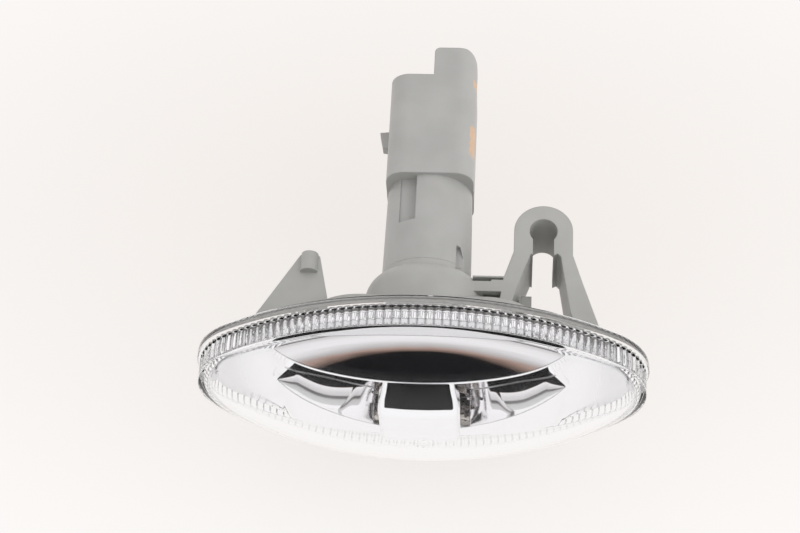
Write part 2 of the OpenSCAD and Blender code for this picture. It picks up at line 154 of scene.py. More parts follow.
def object_point(tree):
    """The output that gives a point's place on the object, in metres."""
    return add(tree, "ShaderNodeTexCoord").outputs["Object"]


# %% [markdown]
# ## Stage
# The lamp lies on a white table under a soft white sky, as in a light tent. A softbox on the right adds
# a faint direction to the light. Plastic and nylon need the light only. Bright metal and clear plastic
# show what stands round them, and there they have to see the same white as the camera does, so the sky
# and the table are at full white for the rays that left a mirror or went through the lens. Such a ray
# meets many surfaces before it is out again, so the limits on bounces are raised.

# %% Sky
scene = bpy.context.scene
scene.view_settings.view_transform = "Standard"
scene.cycles.max_bounces = 32
scene.cycles.glossy_bounces = 16
scene.cycles.transmission_bounces = 32
SKY_ON_PLAIN_SURFACES = 0.86


def seen_by_clear_parts(tree):
    """1 for a ray that left a mirror or went through clear plastic, else 0: the greater of two flags."""
    path = add(tree, "ShaderNodeLightPath")
    either = add(tree, "ShaderNodeMath", {0: path.outputs["Is Glossy Ray"],
                                          1: path.outputs["Is Transmission Ray"]}, operation="MAXIMUM")
    return path.outputs["Is Camera Ray"], either.outputs["Value"]


world = bpy.data.worlds.new("soft white sky")
scene.world = world
world.use_nodes = True
world.node_tree.nodes.clear()
from_camera, from_clear = seen_by_clear_parts(world.node_tree)
seen = add(world.node_tree, "ShaderNodeMath", {0: from_camera, 1: from_clear}, operation="MAXIMUM")
level = add(world.node_tree, "ShaderNodeMapRange", {"Value": seen.outputs["Value"],
                                                    "To Min": SKY_ON_PLAIN_SURFACES, "To Max": 1.0})
sky = add(world.node_tree, "ShaderNodeBackground", {"Color": linear("#fffcfb"),
                                                    "Strength": level.outputs["Result"]})
add(world.node_tree, "ShaderNodeOutputWorld", {"Surface": sky.outputs["Background"]})


# %% [markdown]
# The table could be a plain white sheet, but an even white looks cut out. So painted shade goes into the
# table's colour: it fades from a grey pool round the lamp to paper white.

# %% Table
FLOOR_SIZE = 4.0
TABLE_GAP = 0.1 * MM
# How much of the table's light is its own glow, for the camera
TABLE_GLOW = 0.85
# The pool of painted shade: its middle in Y, how much wider it is than deep, and where it starts and ends
# to fade
PAINTED_SHADE_Y, PAINTED_SHADE_WIDE, PAINTED_SHADE_NEAR, PAINTED_SHADE_FAR = 45 * MM, 1.8, 0 * MM, 110 * MM


def rectangle(name, centre, across, along):
    """A flat card of four corners: centre plus or minus the half sides across and along."""
    centre, across, along = (np.array(v, float) for v in (centre, across, along))
    corners = [centre - across - along, centre + across - along,
               centre + across + along, centre - across + along]
    mesh = bpy.data.meshes.new(name)
    mesh.from_pydata([c.tolist() for c in corners], [], [(0, 1, 2, 3)])
    card = bpy.data.objects.new(name, mesh)
    scene.collection.objects.link(card)
    return card


def white_laminate():
    """The table's paper-white laminate with painted shade: its colour turns greyer round the lamp, where
    less light reaches it. Part of it glows evenly, as an overexposed table does, and the rest still takes
    the lamp's shadow."""
    material, tree, shader = start_material("white laminate", {"Roughness": 0.5, "IOR": 1.45})
    flat = add(tree, "ShaderNodeMapping", {"Vector": object_point(tree), "Scale": (1 / PAINTED_SHADE_WIDE, 1, 1)})
    away = add(tree, "ShaderNodeVectorMath", {0: flat.outputs["Vector"], 1: (0, PAINTED_SHADE_Y, floor_z)},
               operation="DISTANCE")
    share = add(tree, "ShaderNodeMapRange", {"Value": away.outputs["Value"], "From Min": PAINTED_SHADE_NEAR,
                                             "From Max": PAINTED_SHADE_FAR}, interpolation_type="SMOOTHSTEP")
    tint = add(tree, "ShaderNodeValToRGB", {"Fac": share.outputs["Result"]})
    # Painted shade: the grey in the pool's middle, fading to paper white
    tint.color_ramp.elements[0].color = linear("#f4efeb")
    tint.color_ramp.elements[1].color = linear("#fffdfc")
    tree.links.new(tint.outputs["Color"], shader.inputs["Base Color"])
    glow = add(tree, "ShaderNodeEmission", {"Color": tint.outputs["Color"], "Strength": 1.0})
    from_camera, from_clear = seen_by_clear_parts(tree)
    glowing = add(tree, "ShaderNodeMath", {0: from_camera, 1: TABLE_GLOW, 2: from_clear},
                  operation="MULTIPLY_ADD")
    both = add(tree, "ShaderNodeMixShader", {"Fac": glowing.outputs["Value"], 1: shader.outputs["BSDF"],
                                             2: glow.outputs["Emission"]})
    tree.links.new(both.outputs["Shader"], tree.nodes["Material Output"].inputs["Surface"])
    return material


floor_z = cad_box[0].z - TABLE_GAP
table_top = rectangle("table_top", (0, 0, floor_z), (FLOOR_SIZE / 2, 0, 0), (0, FLOOR_SIZE / 2, 0))
table_top.data.materials.append(white_laminate())
print("table top at", round(floor_z / MM, 2), "mm")

# %% Softbox
SOFTBOX_WIDE, SOFTBOX_HIGH, SOFTBOX_WATTS = 0.5, 0.7, 1.5
SOFTBOX_PLACE = Vector((0.60, -0.05, 0.42))
softbox = bpy.data.lights.new("softbox", "AREA")
softbox.shape, softbox.energy = "RECTANGLE", SOFTBOX_WATTS
softbox.size, softbox.size_y = SOFTBOX_WIDE, SOFTBOX_HIGH
softbox_light = bpy.data.objects.new("softbox", softbox)
softbox_light.location = SOFTBOX_PLACE
softbox_light.rotation_euler = (-SOFTBOX_PLACE).to_track_quat("-Z", "Y").to_euler()
softbox_light.visible_glossy = softbox_light.visible_transmission = False
scene.collection.objects.link(softbox_light)

# %% [markdown]
# The bright body of the lamp mirrors what stands in front of it, and black streaks beside white ones are
# what makes coated metal look bright. Several small cards could do that, but their edges would all have to
# be placed. One upright card holds everything as bands of colour: a dark field with a thin warm edge on
# top, and greys above it. Near the middle the bands are flat arches, height + bend * (x - middle) ** 2,
# and beyond a certain reach they run level.

# %% Card for the mirrors
CARD_AWAY, CARD_HALF, CARD_TOP = 0.42, 0.9, 0.62
CARD_BEND, CARD_MIDDLE, CARD_REACH = 6.5, -0.022, 0.07
# Heights of the dark field, and every band's height and colour from the card's foot to its top
DARK_FOOT, DARK_TOP = -0.0205, 0.2510
BANDS = ((-0.0230, "#fffcfb"), (DARK_FOOT - 0.0006, "#fffcfb"), (DARK_FOOT, "#09090a"),
         (DARK_TOP, "#101012"), (DARK_TOP + 0.0008, "#966a52"), (DARK_TOP + 0.0020, "#a98a7a"),
         (DARK_TOP + 0.0034, "#a59c99"), (DARK_TOP + 0.0050, "#c4bfbd"), (DARK_TOP + 0.0075, "#e0dddc"),
         (DARK_TOP + 0.0135, "#f4f1f0"), (0.33, "#dcd9d8"), (0.385, "#cfcccb"), (0.415, "#5c5a58"),
         (0.450, "#6c6a68"), (0.490, "#c4c2c0"), (0.62, "#d2d0ce"))


def banded_card():
    """A glow in bands: the height of each point, bent into an arch, picks its colour from the list."""
    material = bpy.data.materials.new("banded studio card")
    material.use_nodes = True
    tree = material.node_tree
    tree.nodes.clear()
    place = add(tree, "ShaderNodeSeparateXYZ", {"Vector": object_point(tree)})
    aside = add(tree, "ShaderNodeMath", {0: place.outputs["X"], 1: CARD_MIDDLE}, operation="SUBTRACT")
    square = add(tree, "ShaderNodeMath", {0: aside.outputs["Value"], 1: aside.outputs["Value"]},
                 operation="MULTIPLY")
    capped = add(tree, "ShaderNodeMath", {0: square.outputs["Value"], 1: CARD_REACH ** 2},
                 operation="MINIMUM")
    bent = add(tree, "ShaderNodeMath", {0: capped.outputs["Value"], 1: CARD_BEND, 2: place.outputs["Z"]},
               operation="MULTIPLY_ADD")
    low, high = BANDS[0][0], BANDS[-1][0]
    share = add(tree, "ShaderNodeMapRange", {"Value": bent.outputs["Value"], "From Min": low,
                                             "From Max": high})
    ramp = add(tree, "ShaderNodeValToRGB", {"Fac": share.outputs["Result"]}).color_ramp
    for height, hex_colour in BANDS[1:-1]:
        ramp.elements.new((height - low) / (high - low)).color = linear(hex_colour)
    ramp.elements[0].color, ramp.elements[-1].color = linear(BANDS[0][1]), linear(BANDS[-1][1])
    glow = add(tree, "ShaderNodeEmission", {"Color": tree.nodes["Color Ramp"].outputs["Color"]})
    add(tree, "ShaderNodeOutputMaterial", {"Surface": glow.outputs["Emission"]})
    return material


card_middle = (CARD_TOP + floor_z) / 2
mirror_card = rectangle("mirror_card", (0, -CARD_AWAY, card_middle), (CARD_HALF, 0, 0),
                        (0, 0, CARD_TOP - card_middle))
mirror_card.data.materials.append(banded_card())
# Only mirrors and clear plastic see the card
mirror_card.visible_camera = mirror_card.visible_diffuse = mirror_card.visible_shadow = False
mirror_card.visible_volume_scatter = False

# %% [markdown]
# ## Helpers for surfaces
# A modelled mesh is moved point by point, and a boolean leaves thin triangles that clear plastic and
# mirrors show at once. So every new piece is a sheet of points worked out by numpy: rows follow the
# section, columns run round the piece. One function turns such a sheet into a mesh. A first or last row
# whose points all fall together closes as a fan of triangles round one point.

# %% Sheets of points
def sheet_mesh(name, points, round_columns=True, pole_start=False, pole_end=False):
    """A mesh from an array of shape (rows, columns, 3), in mm; quads join each point to its next
    column and next row, and a pole row becomes one point with a fan of triangles."""
    rows, columns = points.shape[:2]
    index = np.arange(rows * columns).reshape(rows, columns)
    here, there = index, np.roll(index, -1, axis=1)
    if not round_columns:
        here, there = index[:, :-1], index[:, 1:]
    below, above = (slice(0, -1), slice(1, None))
    quads = np.stack((here[below], there[below], there[above], here[above]), axis=-1)
    first = 1 if pole_start else 0
    final = len(quads) - (1 if pole_end else 0)
    faces = quads[first:final].reshape(-1, 4).tolist()
    if pole_start:
        faces += [(index[0, 0], t, h) for h, t in zip(here[1], there[1])]
    if pole_end:
        faces += [(h, t, index[-1, 0]) for h, t in zip(here[-2], there[-2])]
    mesh = bpy.data.meshes.new(name)
    mesh.from_pydata((points.reshape(-1, 3) * MM).tolist(), [], faces)
    piece = bpy.data.objects.new(name, mesh)
    scene.collection.objects.link(piece)
    return piece


def drop_loose(piece):
    """Removes points that no face uses, such as the repeats in a pole row."""
    work = bmesh.new()
    work.from_mesh(piece.data)
    loose = [v for v in work.verts if not v.link_faces]
    bmesh.ops.delete(work, geom=loose, context="VERTS")
    bmesh.ops.recalc_face_normals(work, faces=work.faces)
    work.to_mesh(piece.data)
    work.free()
    piece.data.shade_smooth()


def smoothstep(t):
    """3 t^2 - 2 t^3 between 0 and 1, level at both ends."""
    t = np.clip(t, 0, 1)
    return t * t * (3 - 2 * t)


# %% [markdown]
# ## The lens
# The real lens is one shot of clear polycarbonate. Its rim is an oval of four arcs that meet at a
# tangent, its edge is fluted by round reeds that end in small arches, and its face is an arc turned
# about a line along the oval. A sheet that starts inside at the crown, comes back along the inner
# wall, turns round the rim and climbs the outside gives one closed skin, which clear plastic needs.
# Every column of points belongs to one arc of the rim, so an inset moves it straight inwards, and each
# reed gets the same few columns.

# %% Outline of the rim
# Half length and half height of the rim, and the radius of its two end arcs
RIM_A, RIM_B, END_R = 37.5, 23.0, 15.0
# Where the reeds start and end, the crown and the dome's edge, in mm in front of the seat, and the walls
SKIRT_Y, REED_END = 1.35, 4.9
CROWN, EDGE_Y, DOME_WALL, SIDE_WALL = 14.8, 5.6, 2.0, 1.9
# The dome's edge in from the rim, and the reeds' height above and below it, radius and pitch
EDGE_IN, REED_PROUD, REED_SINK, REED_R, REED_PITCH = 0.5, 0.28, 0.06, 0.55, 1.3
REED_IN = EDGE_IN + REED_PROUD + REED_SINK
STEPS_PER_REED = 8


def side_radius(a, b, r):
    """Radius of the long arcs of an oval whose end arcs have radius r: ((a-r)^2 + b^2 - r^2) / 2(b-r)."""
    return ((a - r) ** 2 + b ** 2 - r ** 2) / (2 * (b - r))


def rim_columns():
    """Centre, radius and direction of each column of points, arc by arc, and its place in its reed."""
    side = side_radius(RIM_A, RIM_B, END_R)
    half = np.arctan2(RIM_A - END_R, side - RIM_B)
    arcs = (((RIM_A - END_R, 0), END_R, half - np.pi / 2, np.pi - 2 * half),
            ((0, RIM_B - side), side, np.pi / 2 - half, 2 * half),
            ((END_R - RIM_A, 0), END_R, np.pi / 2 + half, np.pi - 2 * half),
            ((0, side - RIM_B), side, 3 * np.pi / 2 - half, 2 * half))
    centres, radii, angles, phases = [], [], [], []
    for centre, radius, start, span in arcs:
        reeds = round(span * (radius - REED_IN + REED_PROUD - REED_R) / REED_PITCH)
        step = np.arange(reeds * STEPS_PER_REED)
        angles.append(start + (span * step) / (reeds * STEPS_PER_REED))
        phases.append((step % STEPS_PER_REED) / STEPS_PER_REED)
        centres.append(np.tile(centre, (len(step), 1)))
        radii.append(np.full(len(step), radius))
    return np.concatenate(centres), np.concatenate(radii), np.concatenate(angles), np.concatenate(phases)


rim_centre, rim_radius, rim_angle, reed_phase = rim_columns()
rim_out = np.stack((np.cos(rim_angle), np.sin(rim_angle)), axis=1)


def rim_at(inset):
    """X and Z of every column, moved in from the rim by inset: centre + (radius - inset) * direction."""
    return rim_centre + (rim_radius - inset)[:, None] * rim_out


print("reeds round the edge:", len(rim_angle) // STEPS_PER_REED)

# %% [markdown]
# The dome could be a squashed sphere, but the real one is evenly curved along its length, and a squashed
# sphere bends hardest at its ends. So the face is a flat arc swung about the long axis, whose two radii
# follow from half a chord and its sag: (half ^ 2 + sag ^ 2) / 2 sag. At the crown stays the mark of the
# gate, where the plastic was shot in.

# %% Dome of the lens
RIM_TO_EDGE_A, RIM_TO_EDGE_B, SAG = RIM_A - EDGE_IN, RIM_B - EDGE_IN, CROWN - EDGE_Y
DOME_LONG = (RIM_TO_EDGE_A ** 2 + SAG ** 2) / (2 * SAG)
DOME_SHORT = (RIM_TO_EDGE_B ** 2 + SAG ** 2) / (2 * SAG)
GATE_X, GATE_R, GATE_HIGH = 0.9, 0.7, 0.05
DIMPLE_R, DIMPLE_WIDE, DIMPLE_DEEP = 2.1, 0.4, 0.012
# The share of the way out up to which a ring bends towards a circle, and that circle's size at the rim
CIRCLE_SHARE, CIRCLE_R = 0.45, 30


def dome_y(plan, wall):
    """Y of the dome over X and Z, its skin moved in by wall: a circle of radius r(x) about the long
    axis, where r(x) is the height of an arc of radius DOME_LONG - wall."""
    x, z = plan[..., 0], plan[..., 1]
    r = DOME_SHORT - DOME_LONG + np.sqrt((DOME_LONG - wall) ** 2 - x ** 2)
    return DOME_SHORT - CROWN - np.sqrt(r ** 2 - z ** 2)


def gate_mark(plan):
    """How far the moulding gate stands out: a low bell-shaped nub inside a soft ring-shaped dimple."""
    away = np.hypot(plan[..., 0] - GATE_X, plan[..., 1])
    nub = GATE_HIGH * np.exp(-(away / GATE_R) ** 2)
    return nub - DIMPLE_DEEP * np.exp(-((away - DIMPLE_R) / DIMPLE_WIDE) ** 2)


def rows_to_pole(inset, shares):
    """Rings that shrink from the rim at this inset to the gate's centre and turn into circles there:
    centre + share * a mix of the ring and a circle, where the circle's part grows towards the centre."""
    centre = np.array((GATE_X, 0))
    ring = rim_at(inset) - centre
    circle = ring / np.linalg.norm(ring, axis=1)[:, None]
    rows = []
    for share in shares:
        blend = smoothstep(1 - share / CIRCLE_SHARE)
        rows.append(centre + share * ((1 - blend) * ring + blend * circle * CIRCLE_R))
    return np.array(rows)


# %% [markdown]
# The skin is built ring by ring. Light bends at each surface it meets, so the inside has to be as carefully
# shaped as the outside, and corners are rounded, because a knife edge never leaves a mould.

# %% The closed skin of the lens
FILLET_OUT, FILLET_IN, REBATE_IN, REBATE_Y = 1.3, 0.8, 1.5, 1.3
# Length of the arch at a reed's end and of the slope behind it, and the power that narrows the valleys
ARCH, REED_RAMP, VALLEY_POWER = 0.5, 0.3, 0.7
# Small chamfer of the seat's edge, and rounding of the skirt's step
SEAT_EASE, STEP_EASE = 0.12, 0.15
# Rings of the dome, as shares of the way from the gate to the rim, inside and outside
INNER_RINGS = (0.0, 0.03, 0.07, 0.12, 0.2, 0.3, 0.4, 0.5, 0.6, 0.7, 0.8, 0.9, 0.96)
OUTER_RINGS = (0.94, 0.87, 0.8, 0.72, 0.64, 0.56, 0.48, 0.41, 0.34, 0.28, 0.22, 0.17, 0.13,
               0.1, 0.085, 0.072, 0.062, 0.054, 0.046, 0.04, 0.034, 0.028, 0.015, 0)
# Rings of the fluted band, close together where the reeds round off
REED_RINGS = (1.37, 1.45, 1.57, 1.73, 1.95, 3.2, 4.3, 4.52, 4.68, 4.8, 4.88)
INNER_WALL_Y = 2.4


def reed_height(y):
    """Height of the reeds, y mm in front of the seat: a cosine wave across, raised to a power that
    narrows the valley between neighbours, and rounded off at the reed's two ends."""
    across = (0.5 - 0.5 * np.cos(2 * np.pi * reed_phase)) ** VALLEY_POWER
    to_end = min(y - SKIRT_Y, REED_END - y)
    along = np.sqrt(np.clip(1 - (1 - min(to_end / ARCH, 1)) ** 2, 0, 1))
    return (REED_PROUD + REED_SINK) * across * along


def ring_row(inset, y):
    """One ring of points, this far in from the rim and y mm in front of the seat."""
    plan = rim_at(inset)
    return np.column_stack((plan[:, 0], np.full(len(plan), -y), plan[:, 1]))


def fillet_rows(inset, wall, size, shares):
    """Rings round a corner, from the wall to the dome, size mm each way. Each column is the quadratic
    curve (1 - t)^2 foot + 2 t (1 - t) corner + t^2 point on the dome."""
    def dome_ring(at):
        plan = rim_at(at)
        return np.column_stack((plan[:, 0], dome_y(plan, wall), plan[:, 1]))
    corner, over_dome = dome_ring(inset), dome_ring(inset + size)
    foot = corner + np.array((0, size, 0))
    return [(1 - t) ** 2 * foot + 2 * t * (1 - t) * corner + t ** 2 * over_dome for t in shares]


def dome_rows(inset, wall, shares, gate):
    """Rings of the dome from the inset ring towards the pole, with or without the gate's nub."""
    plan = rows_to_pole(inset, shares)
    y = dome_y(plan, wall) - (gate_mark(plan) if gate else 0)
    return list(np.stack((plan[..., 0], y, plan[..., 1]), axis=-1))


def lens_skin():
    """All rings of the lens, from the pole inside to the pole outside, as one array."""
    curve = np.linspace(0, 1, 7)
    wall_in = EDGE_IN + SIDE_WALL
    rows = dome_rows(wall_in + FILLET_IN, DOME_WALL, INNER_RINGS, False)
    rows += fillet_rows(wall_in, DOME_WALL, FILLET_IN, curve[::-1])
    rows += [ring_row(wall_in, INNER_WALL_Y), ring_row(wall_in, REBATE_Y + 0.1),
             ring_row(wall_in - 0.1, REBATE_Y), ring_row(REBATE_IN, REBATE_Y), ring_row(REBATE_IN, 0.0)]
    rows += [ring_row(SEAT_EASE, 0.0), ring_row(0.0, SEAT_EASE), ring_row(0.0, SKIRT_Y - STEP_EASE),
             ring_row(0.05, SKIRT_Y - 0.04), ring_row(STEP_EASE, SKIRT_Y),
             ring_row(REED_IN - 0.04, SKIRT_Y)]
    for y in REED_RINGS:
        rows.append(ring_row(REED_IN - reed_height(y), y))
    rows += [ring_row(REED_IN - 0.02, REED_END), ring_row(EDGE_IN + 0.03, REED_END + REED_RAMP - 0.04),
             ring_row(EDGE_IN, REED_END + REED_RAMP)]
    corner_y = -dome_y(rim_at(EDGE_IN), 0)
    size = min(FILLET_OUT, corner_y.min() - REED_END - REED_RAMP - 0.02)
    rows += fillet_rows(EDGE_IN, 0, size, curve)
    rows += dome_rows(EDGE_IN + size, 0, OUTER_RINGS, True)
    return np.array(rows)


def mark_valleys(piece, points):
    """Writes how deep each point lies between the reeds: (inset - EDGE_IN) / (REED_IN - EDGE_IN) on the
    fluted band, where inset = radius - distance from the arc's centre, and 0 elsewhere. The band is the
    outer skin from just past the skirt's step to the reeds' ends."""
    inset = rim_radius - np.hypot(points[..., 0] - rim_centre[:, 0], points[..., 2] - rim_centre[:, 1])
    on_band = (-points[..., 1] > SKIRT_Y + 0.01) & (-points[..., 1] < REED_END + 0.01) & (inset < 1)
    depth = np.where(on_band, np.clip((inset - EDGE_IN) / (REED_IN - EDGE_IN), 0, 1), 0)
    layer = piece.data.attributes.new("reed_valley", "FLOAT", "POINT")
    layer.data.foreach_set("value", depth.ravel())


def clear_polycarbonate():
    """Clear moulded plastic: index 1.586, a mirror-smooth skin with the faintest dusty haze. A low Specular
    Tint weakens the images on the skin, which would otherwise veil the dark metal behind it. Painted shade
    turns the narrow valleys between the reeds grey, so that a line draws each reed; it is strongest towards
    the top and fades out towards the bottom."""
    material, tree, shader = start_material("clear polycarbonate", {
        "IOR": 1.586, "Transmission Weight": 1.0,
        "Specular Tint": (0.1, 0.1, 0.1, 1.0)})
    place = object_point(tree)
    film = add(tree, "ShaderNodeTexNoise", {"Vector": place, "Scale": 1 / (9 * MM), "Detail": 3.0})
    haze = add(tree, "ShaderNodeMapRange", {"Value": film.outputs["Fac"], "From Min": 0.4,
                                            "From Max": 0.75, "To Min": 0.0, "To Max": 0.02})
    valley = add(tree, "ShaderNodeAttribute", attribute_name="reed_valley")
    # Painted shade: the valleys between the reeds turn grey, more so towards the top
    valley_shade = add(tree, "ShaderNodeMapRange", {"Value": valley.outputs["Fac"], "From Min": 0.45})
    height = add(tree, "ShaderNodeSeparateXYZ", {"Vector": place})
    above = add(tree, "ShaderNodeMapRange", {"Value": height.outputs["Z"], "From Min": -6 * MM,
                                             "From Max": 2 * MM})
    painted_valley_shade = add(tree, "ShaderNodeMath", {0: valley_shade.outputs["Result"], 1: above.outputs["Result"]},
                  operation="MULTIPLY")
    tint = add(tree, "ShaderNodeValToRGB", {"Fac": painted_valley_shade.outputs["Value"]})
    tint.color_ramp.elements[0].color = linear("#fdfeff")
    # The grey of the painted valley shade
    tint.color_ramp.elements[1].color = linear("#6a6b6d")
    tree.links.new(tint.outputs["Color"], shader.inputs["Base Color"])
    tree.links.new(haze.outputs["Result"], shader.inputs["Roughness"])
    return material


lens_points = lens_skin()
lens = sheet_mesh("clear_lens", lens_points, pole_start=True, pole_end=True)
mark_valleys(lens, lens_points)
drop_loose(lens)
lens.data.materials.append(clear_polycarbonate())
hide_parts("lens")
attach(lens, "root")
print("lens faces:", len(lens.data.polygons))

# %% [markdown]
# ## The bright body
# The real reflector is one ABS moulding that was coated with aluminium in a vacuum, so every soft edge
# and every hollow shows as a reflection. Cut from a block with booleans, it would have uneven triangles
# that a mirror shows at once. It is drawn here as sheets of points that follow its creases: two sloped
# leaves, a long face that rolls over at its ends, a bowl with a pointed wing on each side, and a chamber
# round the bulb. Each column of points runs down one section, from rim to rim.

# %% Outlines of the bright body
# A leaf climbs from its foot to the crest, and the flat rim lies RIM_FRONT mm in front of the seat
FOOT_Z, CREST_Z, CREST_Y, RIM_FRONT = 15.6, 10.3, 8.4, 2.8
LEAF_SLOPE = (FOOT_Z - CREST_Z) / (CREST_Y - RIM_FRONT)
# The long face at x = 0, how slowly it falls away, and how it rolls over and runs out at its ends
FACE_Y, FACE_FALL, ROLL_DEEP, ROLL_X, RUN_OUT = 8.5, 196, 1.6, 24.2, 3.4
# The body's edge in from the lens's rim, the strip between crest and bowl, the back edge in front of the
# seat, and how far the body's side leans in over each mm
BODY_IN, CREST_STRIP, BODY_BACK, RIM_LEAN = 2.6, 0.6, 1.35, 0.58
# Corner and tip of the bowl's pointed wings, the bowl's lowest point, and a step in the columns' spacing
CORNER_X, TIP_X, TIP_Z, LOW_Z, SPREAD_X = 20.5, 23.6, 1.8, 7.8, 27.06
# The chamber's half width, its floor and its half height, and the round hole for the bulb
CHAMBER_X, CHAMBER_Y, CHAMBER_Z, HOLE_R, HOLE_END = 8.0, 4.2, 7.2, 6.55, 6.0


def face_front(x):
    """How far the long face stands in front: FACE_Y - x^2 / FACE_FALL - ROLL_DEEP (|x| / ROLL_X)^8, a
    flat arch that rolls over near its ends. Past the wings' tips, at a distance d, it runs out to the
    rim by e^(-d / RUN_OUT)."""
    def arch(x):
        return FACE_Y - x ** 2 / FACE_FALL - ROLL_DEEP * (np.abs(x) / ROLL_X) ** 8
    past = np.maximum(np.abs(x) - TIP_X, 0)
    return np.where(past > 0, RIM_FRONT + (arch(TIP_X) - RIM_FRONT) * np.exp(-past / RUN_OUT), arch(x))


def rim_half(x, inset):
    """Half height of the oval at x, moved in by inset: side arc in the middle, end arc beyond the joint."""
    a, b, r = RIM_A - inset, RIM_B - inset, END_R - inset
    side = side_radius(a, b, r)
    joint = (a - r) * side / (side - r)
    middle = b - side + np.sqrt(np.maximum(side ** 2 - x ** 2, 0))
    end = np.sqrt(np.maximum(r ** 2 - (np.abs(x) - (a - r)) ** 2, 0))
    return np.where(np.abs(x) < joint, middle, end)


def crest_height(x):
    """Half height of the crest, where a sloped leaf meets the face."""
    return FOOT_Z - LEAF_SLOPE * (face_front(x) - RIM_FRONT)


def bowl_outline(x):
    """Upper and lower edge of the bowl: above, just inside the crest and then straight to the wing's
    tip; below, the parabola -LOW_Z + (LOW_Z + TIP_Z) (|x| / TIP_X)^2 to the same tip."""
    past = np.clip((np.abs(x) - CORNER_X) / (TIP_X - CORNER_X), 0, 1)
    high = (crest_height(np.minimum(np.abs(x), CORNER_X)) - CREST_STRIP) * (1 - past) + TIP_Z * past
    low = -LOW_Z + (LOW_Z + TIP_Z) * np.clip(np.abs(x) / TIP_X, 0, 1) ** 2
    return high, np.minimum(low, high)


# %% [markdown]
# A mirror's form shows only through what it reflects. Seen from 60 degrees above, a wall whose normal
# climbs by an angle a reflects what lies at 2 a - 60 degrees: the white table below about 28 degrees, the
# dark field up to about 45 degrees, then pale bands and the sky. So the bowl's section is chosen by its
# angles, and its depth follows from them.

# %% Section of the bowl
SIGHT = np.tan(np.radians(30))
# Climb of the normal, in degrees, where the view past the crest first meets the lower wall and at its
# lip, each beside the chamber and out towards the wing's tip, and over how many mm they blend
FIRST_INNER, FIRST_OUTER, LAST_INNER, LAST_OUTER, BLEND_X = 37, 30, 76, 67, 10.0
WALL_POINTS = 21


def bowl_section(x, high, low):
    """Rows of Z and depth behind the face. The lower wall is an arc whose normal climbs from level to
    the angle `last` at the lip. Its radius and deepest point are such that a look past the crest, along
    a slope of SIGHT, meets it where the normal climbs at `first`. The upper wall is a quarter ellipse."""
    outer = smoothstep((np.abs(x) - CHAMBER_X) / BLEND_X)
    first = np.radians(FIRST_INNER + (FIRST_OUTER - FIRST_INNER) * outer)
    last = np.radians(LAST_INNER + (LAST_OUTER - LAST_INNER) * outer)
    rise = (np.cos(first) - np.cos(last)) / SIGHT - np.sin(first)
    radius = (high - low) / (np.sin(last) + rise)
    middle, deep = low + radius * np.sin(last), radius * (1 - np.cos(last))
    rows = [(middle + (high - middle) * np.cos(t), deep * np.sin(t))
            for t in np.linspace(0, np.pi / 2, WALL_POINTS)]
    rows += [(middle - radius * np.sin(last * t), deep - radius * (1 - np.cos(last * t)))
             for t in np.linspace(0, 1, WALL_POINTS)[1:]]
    return rows


# %% Sheets of the bright body
LEAF_POINTS, HOLE_POINTS, CHAMBER_POINTS = 9, 96, 17
# How far the chamber's floor reaches under its walls, and the rounding at the hole's mouth
FLOOR_LAP, MOUTH_SHARE, MOUTH_DEEP = 0.2, 1.03, 0.2


def body_columns():
    """X of every column, and whether it belongs to the chamber. At the chamber's side walls two columns
    share one X, and the wall stands between them."""
    half = (np.linspace(CHAMBER_X, CORNER_X, 27), np.linspace(CORNER_X, TIP_X, 10)[1:],
            np.linspace(TIP_X, SPREAD_X, 8)[1:], np.linspace(SPREAD_X, RIM_A - BODY_IN, 10)[1:])
    outer = np.concatenate(half)
    chamber = np.linspace(-CHAMBER_X, CHAMBER_X, CHAMBER_POINTS)
    x = np.concatenate((-outer[::-1], chamber, outer))
    inside = np.concatenate((np.zeros(len(outer), bool), np.ones(len(chamber), bool),
                             np.zeros(len(outer), bool)))
    return x, inside


def body_sheet():
    """All points of the body. Each column runs from the back of the rim over the leaf, the crest and the
    strip of face into the bowl, or into the chamber, whose walls go straight back, and out again."""
    x, inside = body_columns()
    back, top = rim_half(x, BODY_IN), rim_half(x, BODY_IN + RIM_LEAN * (RIM_FRONT - BODY_BACK))
    rim = np.minimum(RIM_FRONT, BODY_BACK + (RIM_A - BODY_IN - np.abs(x)) / RIM_LEAN)
    front = np.where(rim < RIM_FRONT, rim, face_front(x))
    foot, crest = np.minimum(FOOT_Z, top), np.minimum(crest_height(x), top)
    high, low = bowl_outline(x)
    high, low = np.minimum(high, top), np.maximum(low, -top)
    rows = [(back, np.full_like(x, BODY_BACK)), (top, rim), (foot, rim)]
    leaf = []
    for t in np.linspace(0, 1, LEAF_POINTS):
        z = foot + t * (crest - foot)
        leaf.append((z, np.minimum(rim + (FOOT_Z - z) / LEAF_SLOPE, front)))
    rows += leaf
    section = bowl_section(x, high, low)
    for number, (z, deep) in enumerate(section):
        edge = number in (0, len(section) - 1)
        drawn_in = z if edge else np.where(inside, np.clip(z, -CHAMBER_Z, CHAMBER_Z), z)
        rows.append((drawn_in, front - np.where(inside, 0.0 if edge else front + CHAMBER_Y, deep)))
    rows += [(-z, y) for z, y in leaf[::-1]]
    rows += [(-foot, rim), (-top, rim), (-back, np.full_like(x, BODY_BACK))]
    return np.array([np.column_stack((x, -y, z)) for z, y in rows])


